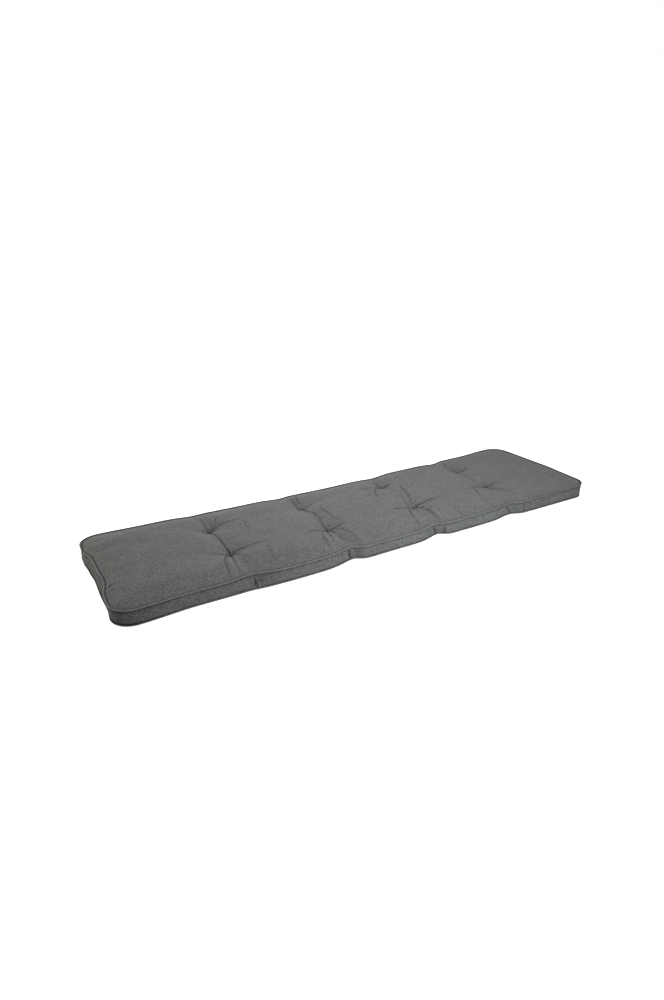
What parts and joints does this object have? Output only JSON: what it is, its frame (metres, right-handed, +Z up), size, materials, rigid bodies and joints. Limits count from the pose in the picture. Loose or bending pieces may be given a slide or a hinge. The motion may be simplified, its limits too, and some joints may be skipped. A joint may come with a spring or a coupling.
{
  "type": "bench cushion",
  "caption": "Long boxed seat cushion for a bench, with rounded corners, piped seams and tufts pulled right through.",
  "frame": {"origin": "middle of the outline, on the surface that the cushion lies on", "axes": "+X along the length, +Y towards the long edge that is drawn in more, +Z up through the tufted top"},
  "size_m": [1.5198, 0.4426, 0.053],
  "materials": {
    "cover": "matt ribbed outdoor weave in mottled grey",
    "piping": "the cover's weave cut on the bias and wrapped round a cord",
    "thread": "dark twisted polyester thread"
  },
  "bodies": {
    "root": {"cushion_body": "cover", "piping_top": "piping", "piping_under": "piping", "tuft_stitch_top_front_1": "thread", "tuft_stitch_top_front_2": "thread", "tuft_stitch_top_front_3": "thread", "tuft_stitch_top_front_4": "thread", "tuft_stitch_top_back_1": "thread", "tuft_stitch_top_back_2": "thread", "tuft_stitch_top_back_3": "thread", "tuft_stitch_top_back_4": "thread", "tuft_stitch_under_front_1": "thread", "tuft_stitch_under_front_2": "thread", "tuft_stitch_under_front_3": "thread", "tuft_stitch_under_front_4": "thread", "tuft_stitch_under_back_1": "thread", "tuft_stitch_under_back_2": "thread", "tuft_stitch_under_back_3": "thread", "tuft_stitch_under_back_4": "thread"}
  },
  "joints": []
}
